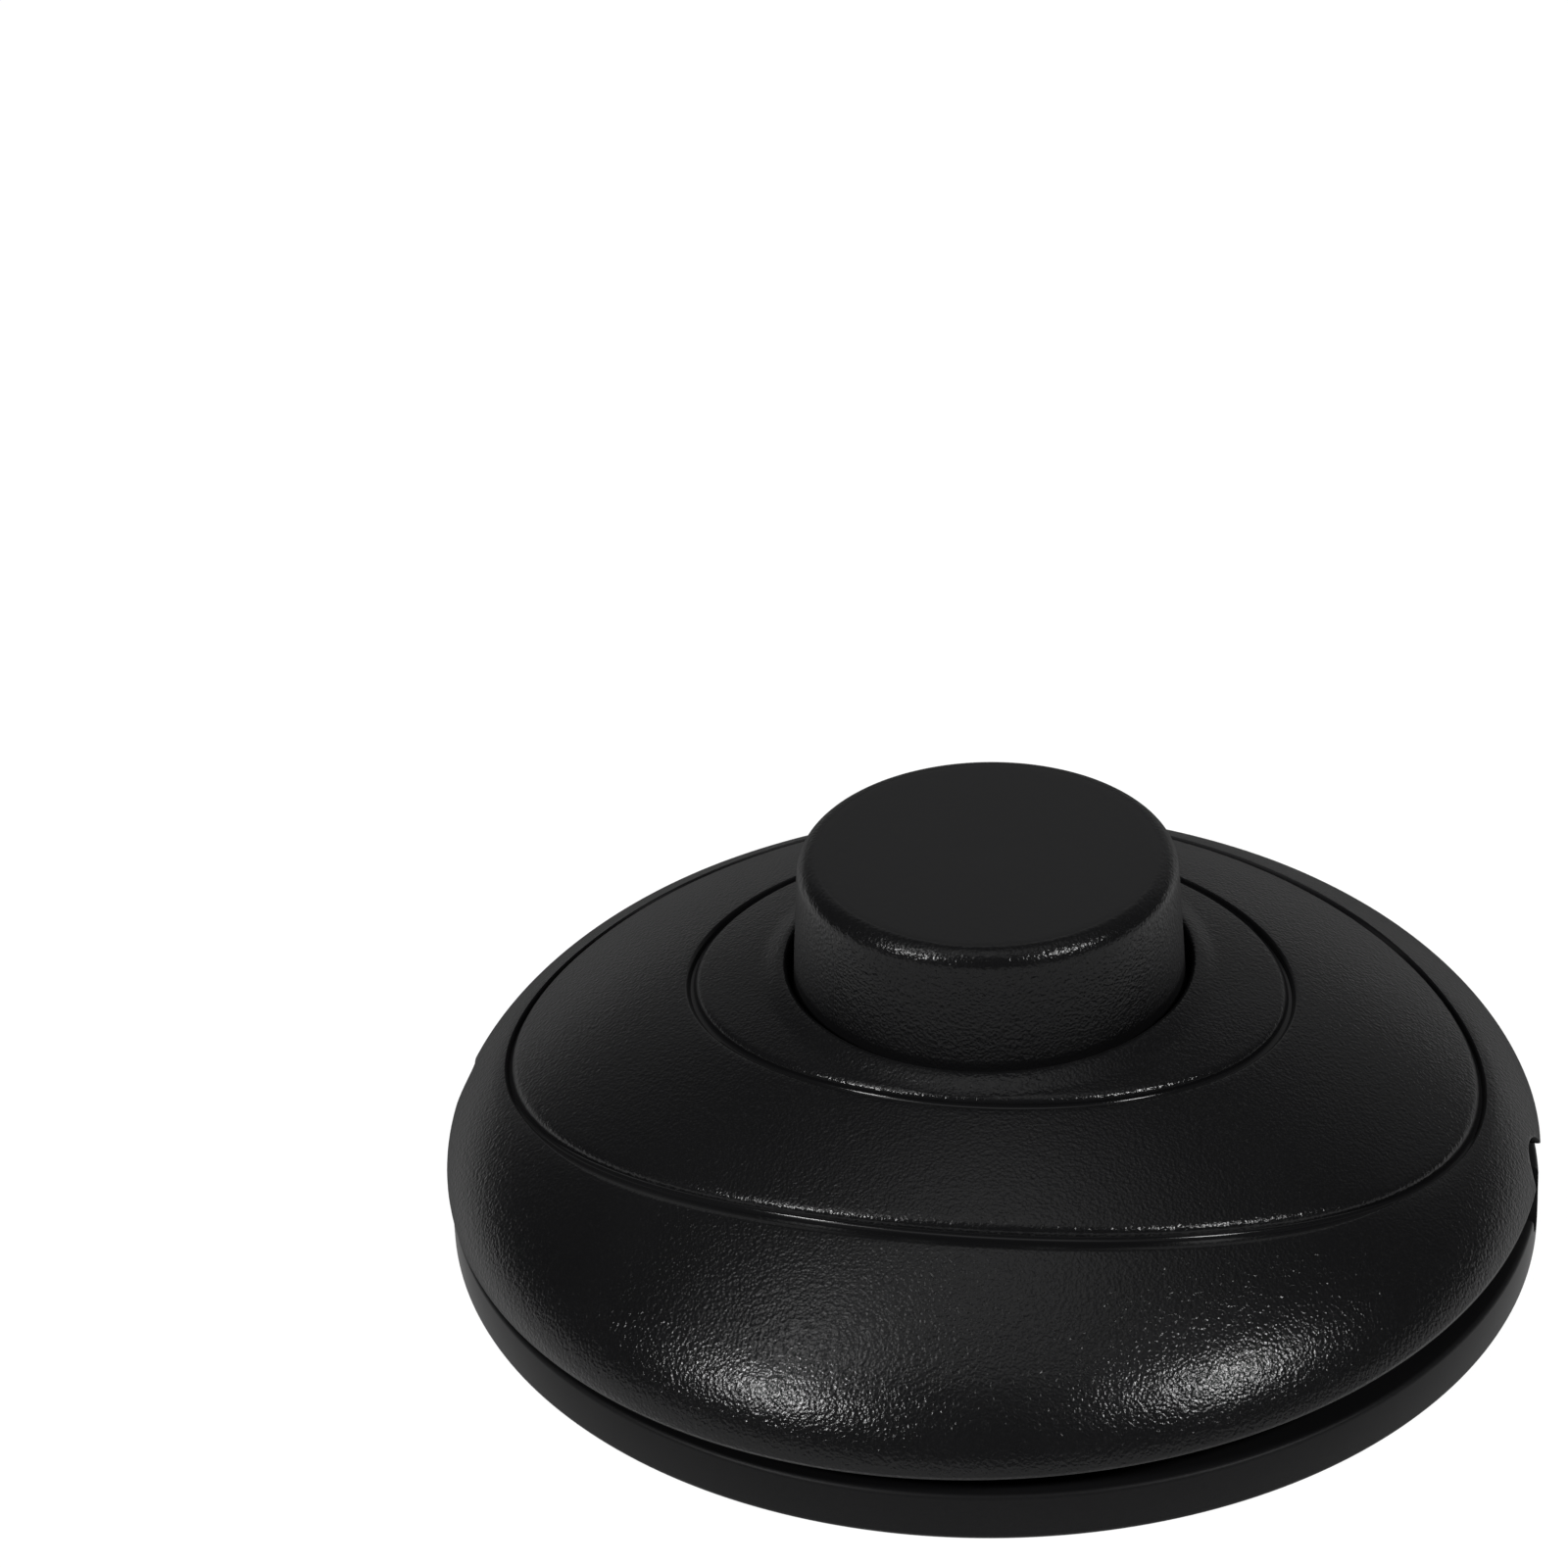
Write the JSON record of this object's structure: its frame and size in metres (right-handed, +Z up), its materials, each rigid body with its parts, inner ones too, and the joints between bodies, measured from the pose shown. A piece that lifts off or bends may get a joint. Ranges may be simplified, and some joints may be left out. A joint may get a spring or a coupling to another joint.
{
  "type": "lamp foot switch",
  "caption": "Round black in-line foot switch: domed grained cover with oval grooves, push button, disc base and a ratchet mechanism inside.",
  "frame": {"origin": "centre of the underside of the base", "axes": "+Z up along the button's stroke, cord entries on -X and +X, front towards -Y"},
  "size_m": [0.0677, 0.068, 0.0252],
  "materials": {
    "cover_plastic": "fine spark-eroded grain, satin",
    "button_plastic": "fine spark-eroded grain, satin",
    "base_plastic": "smooth matt",
    "nylon": "natural, slightly glossy",
    "phenolic": "brown moulded phenolic",
    "brass": "stamped sheet",
    "silver": "contact silver",
    "zinc_steel": "zinc plated",
    "spring_steel": "drawn wire"
  },
  "bodies": {
    "housing": {"housing_cover": "cover_plastic", "base_plate": "base_plastic", "axle_pin": "zinc_steel", "rotor_cage": "phenolic", "cage_screws": "zinc_steel", "return_spring": "spring_steel", "live_in_strip": "brass", "live_out_strip": "brass", "live_in_contact": "silver", "live_out_contact": "silver", "neutral_link": "brass", "live_terminal_screws": "zinc_steel", "neutral_terminal_screws": "zinc_steel", "wire_clamp_plates": "zinc_steel", "cord_clamp_left": "phenolic", "cord_clamp_right": "phenolic", "clamp_screws_left": "zinc_steel", "clamp_screws_right": "zinc_steel", "case_screws": "zinc_steel"},
    "button": {"push_button": "button_plastic", "drive_plunger": "nylon"},
    "rotor": {"ratchet_rotor": "nylon", "contact_bridge": "brass"}
  },
  "joints": [
    {"name": "button_press", "type": "slide", "parent": "housing", "child": "button", "axis": [0, 0, -1], "range_m": [0, 0.003], "stiffness_N_per_m": 1500, "deforming": ["return_spring"]},
    {"name": "rotor_step", "type": "hinge", "parent": "housing", "child": "rotor", "pos_m": [0, 0, 0], "axis": [0, 0, 1], "range_deg": [0, 45]}
  ],
  "couplings": [
    {"joint": "rotor_step", "follows": "button_press", "rad_per_m": 261.79}
  ]
}
